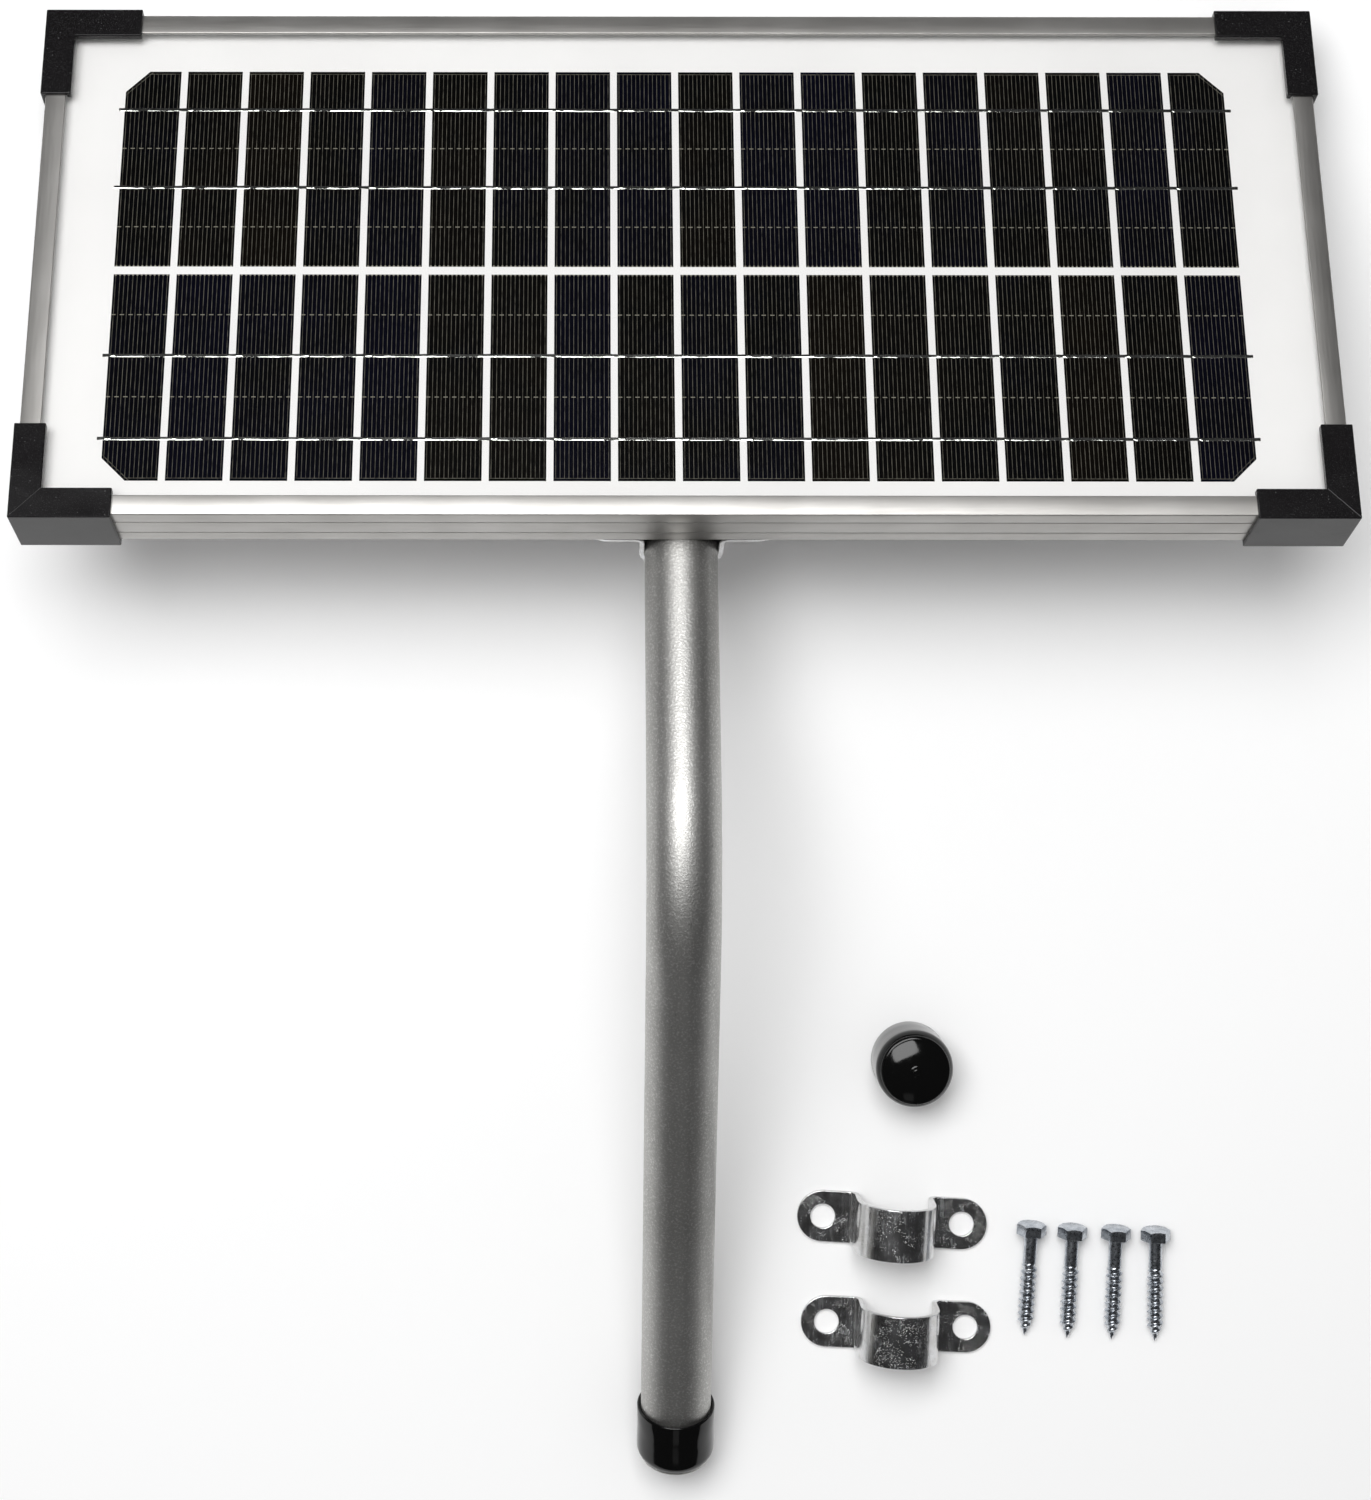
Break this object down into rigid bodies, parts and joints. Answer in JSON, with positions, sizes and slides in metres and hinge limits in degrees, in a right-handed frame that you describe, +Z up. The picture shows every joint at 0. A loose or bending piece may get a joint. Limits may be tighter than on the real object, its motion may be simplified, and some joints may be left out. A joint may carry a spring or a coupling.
{
  "type": "solar panel on a bent pole",
  "caption": "Small framed solar panel for a fence energizer, strapped to a bent round pole, with its loose pipe straps, spare end cap and hex lag screws.",
  "frame": {"origin": "middle of the floor area under the whole set, on the surface that it lies on", "axes": "+Y from the pole's end cap towards the panel's upper side, +Z up from the surface, +X along the panel's long side"},
  "size_m": [0.4532, 0.5308, 0.1126],
  "materials": {
    "frame": "satin clear anodised",
    "corner_plastic": "fine satin moulded",
    "glass": "clear low-iron",
    "encapsulant": "clear",
    "backsheet": "smooth white film",
    "cell": "dark silicon with fine silver fingers",
    "ribbon": "tinned copper",
    "seal": "soft white",
    "box_plastic": "fine texture",
    "dark_rubber": "matt",
    "brass": "plain",
    "braces": "mill finish",
    "pole": "satin silver with fine flake",
    "cap_vinyl": "glossy dipped vinyl",
    "bright_zinc": "bright zinc plate with fine scratches",
    "zinc": "zinc plate, slightly blue"
  },
  "bodies": {
    "panel": {"frame_rail_bottom": "frame", "frame_rail_top": "frame", "frame_rail_left": "frame", "frame_rail_right": "frame", "corner_cap_bl": "corner_plastic", "corner_cap_br": "corner_plastic", "corner_cap_tl": "corner_plastic", "corner_cap_tr": "corner_plastic", "corner_keys": "braces", "edge_seal": "seal", "cover_glass": "glass", "front_encapsulant": "encapsulant", "solar_cells": "cell", "cell_ribbons": "ribbon", "string_links": "ribbon", "output_ribbons": "ribbon", "rear_encapsulant": "encapsulant", "backsheet": "backsheet", "box_adhesive": "dark_rubber", "box_base": "box_plastic", "box_gasket": "dark_rubber", "box_hinge_pin": "zinc", "terminals": "brass", "terminal_screws": "zinc", "bypass_diode": "corner_plastic", "gland_body": "box_plastic", "gland_nut": "box_plastic", "gland_seal": "dark_rubber", "cross_brace": "braces", "brace_rivets": "braces", "back_strap_lower": "bright_zinc", "back_strap_upper": "bright_zinc", "strap_bolts": "zinc", "strap_washers": "zinc", "strap_nuts": "zinc"},
    "pole": {"pole": "pole"},
    "end_cap": {"end_cap": "cap_vinyl"},
    "box_lid": {"box_lid": "box_plastic"},
    "spare_cap": {"spare_cap": "cap_vinyl"},
    "post_strap_1": {"post_strap_1": "bright_zinc"},
    "post_strap_2": {"post_strap_2": "bright_zinc"},
    "lag_screw_1": {"lag_screw_1": "zinc"},
    "lag_screw_2": {"lag_screw_2": "zinc"},
    "lag_screw_3": {"lag_screw_3": "zinc"},
    "lag_screw_4": {"lag_screw_4": "zinc"}
  },
  "joints": [
    {"name": "pole_swivel", "type": "hinge", "parent": "panel", "child": "pole", "pos_m": [0, 0.07076, 0.06308], "axis": [0, 0.9265, -0.3762], "range_deg": [-90, 90]},
    {"name": "cap_pull", "type": "slide", "parent": "pole", "child": "end_cap", "axis": [0, -0.9212, -0.3891], "range_m": [0, 0.04]},
    {"name": "lid_hinge", "type": "hinge", "parent": "panel", "child": "box_lid", "pos_m": [0.12, 0.15808, 0.04634], "axis": [1, 0, 0], "range_deg": [0, 100]},
    {"name": "lift_spare_cap", "type": "slide", "parent": "panel", "child": "spare_cap", "axis": [0, 0, 1], "range_m": [0, 0.15]},
    {"name": "lift_post_strap_1", "type": "slide", "parent": "panel", "child": "post_strap_1", "axis": [0, 0, 1], "range_m": [0, 0.15]},
    {"name": "lift_post_strap_2", "type": "slide", "parent": "panel", "child": "post_strap_2", "axis": [0, 0, 1], "range_m": [0, 0.15]},
    {"name": "lift_lag_screw_1", "type": "slide", "parent": "panel", "child": "lag_screw_1", "axis": [0, 0, 1], "range_m": [0, 0.15]},
    {"name": "lift_lag_screw_2", "type": "slide", "parent": "panel", "child": "lag_screw_2", "axis": [0, 0, 1], "range_m": [0, 0.15]},
    {"name": "lift_lag_screw_3", "type": "slide", "parent": "panel", "child": "lag_screw_3", "axis": [0, 0, 1], "range_m": [0, 0.15]},
    {"name": "lift_lag_screw_4", "type": "slide", "parent": "panel", "child": "lag_screw_4", "axis": [0, 0, 1], "range_m": [0, 0.15]}
  ]
}
